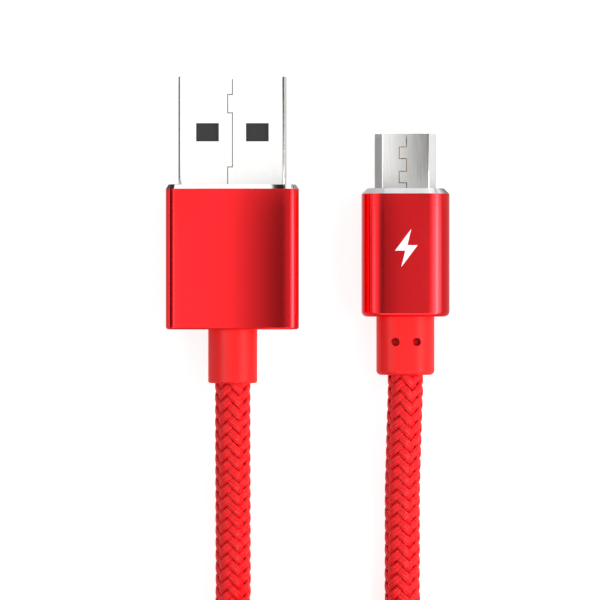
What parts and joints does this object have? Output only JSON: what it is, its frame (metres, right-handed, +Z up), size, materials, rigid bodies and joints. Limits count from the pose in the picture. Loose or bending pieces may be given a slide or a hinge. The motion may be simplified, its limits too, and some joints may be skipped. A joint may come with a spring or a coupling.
{
  "type": "charging cable",
  "caption": "Charging cable: red braided cord with a full-size USB plug and a micro USB plug in aluminium housings, its spare length folded in a tied hank.",
  "frame": {"origin": "on the surface the cable lies on, under the middle of the box round its two plugs", "axes": "+Y the way both plugs point, +Z up off the surface, +X from the full-size plug towards the micro plug"},
  "size_m": [0.0376, 0.1276, 0.0144],
  "materials": {
    "red_aluminium": "red anodised, satin, with bright-cut front edges",
    "red_rubber": "satin moulded elastomer",
    "red_braid": "glossy woven polyester braid over a soft jacket",
    "nickel_steel": "bright nickel plate on steel sheet",
    "spring_steel": "bare spring steel",
    "gold_contact": "gold plate on copper alloy",
    "black_plastic": "moulded contact carrier",
    "natural_plastic": "unpigmented inner moulding",
    "wire_red": "insulated wire",
    "wire_white": "insulated wire",
    "wire_green": "insulated wire",
    "wire_black": "insulated wire",
    "tie_fabric": "hook-and-loop strap"
  },
  "bodies": {
    "cable": {"usb_a_housing": "red_aluminium", "usb_a_overmould": "red_rubber", "usb_a_inner_mould": "natural_plastic", "usb_a_shell": "nickel_steel", "usb_a_insulator": "black_plastic", "usb_a_rear_shield": "nickel_steel", "usb_a_cord_tail": "red_braid", "usb_a_contact_vbus": "gold_contact", "usb_a_contact_dminus": "gold_contact", "usb_a_contact_dplus": "gold_contact", "usb_a_contact_ground": "gold_contact", "usb_a_wire_vbus": "wire_red", "usb_a_wire_dminus": "wire_white", "usb_a_wire_dplus": "wire_green", "usb_a_wire_ground": "wire_black", "micro_housing": "red_aluminium", "micro_overmould": "red_rubber", "micro_inner_mould": "natural_plastic", "micro_shell": "nickel_steel", "micro_insulator": "black_plastic", "micro_rear_shield": "nickel_steel", "micro_cord_tail": "red_braid", "micro_contact_tails": "gold_contact", "micro_latch_base": "spring_steel", "micro_wire_vbus": "wire_red", "micro_wire_dminus": "wire_white", "micro_wire_dplus": "wire_green", "micro_wire_ground": "wire_black", "cord_usb_a_run": "red_braid", "cord_micro_run": "red_braid", "cord_hank": "red_braid", "cord_tie": "tie_fabric"},
    "latch_left": {"micro_latch_left": "spring_steel"},
    "latch_right": {"micro_latch_right": "spring_steel"},
    "contact_beam_vbus": {"micro_contact_beam_vbus": "gold_contact"},
    "contact_beam_dminus": {"micro_contact_beam_dminus": "gold_contact"},
    "contact_beam_dplus": {"micro_contact_beam_dplus": "gold_contact"},
    "contact_beam_id": {"micro_contact_beam_id": "gold_contact"},
    "contact_beam_ground": {"micro_contact_beam_ground": "gold_contact"}
  },
  "joints": [
    {"name": "latch_left_bend", "type": "hinge", "parent": "cable", "child": "latch_left", "pos_m": [0.00845, 0.00315, 0.00293], "axis": [1, 0, 0], "range_deg": [0, 4], "stiffness_Nm_per_rad": 0.1},
    {"name": "latch_right_bend", "type": "hinge", "parent": "cable", "child": "latch_right", "pos_m": [0.01335, 0.00315, 0.00293], "axis": [1, 0, 0], "range_deg": [0, 4], "stiffness_Nm_per_rad": 0.1},
    {"name": "contact_vbus_bend", "type": "hinge", "parent": "cable", "child": "contact_beam_vbus", "pos_m": [0.0096, 0.00568, 0.00328], "axis": [-1, 0, 0], "range_deg": [0, 3], "stiffness_Nm_per_rad": 0.02},
    {"name": "contact_dminus_bend", "type": "hinge", "parent": "cable", "child": "contact_beam_dminus", "pos_m": [0.01025, 0.00568, 0.00328], "axis": [-1, 0, 0], "range_deg": [0, 3], "stiffness_Nm_per_rad": 0.02},
    {"name": "contact_dplus_bend", "type": "hinge", "parent": "cable", "child": "contact_beam_dplus", "pos_m": [0.0109, 0.00568, 0.00328], "axis": [-1, 0, 0], "range_deg": [0, 3], "stiffness_Nm_per_rad": 0.02},
    {"name": "contact_id_bend", "type": "hinge", "parent": "cable", "child": "contact_beam_id", "pos_m": [0.01155, 0.00568, 0.00328], "axis": [-1, 0, 0], "range_deg": [0, 3], "stiffness_Nm_per_rad": 0.02},
    {"name": "contact_ground_bend", "type": "hinge", "parent": "cable", "child": "contact_beam_ground", "pos_m": [0.0122, 0.00568, 0.00328], "axis": [-1, 0, 0], "range_deg": [0, 3], "stiffness_Nm_per_rad": 0.02}
  ]
}
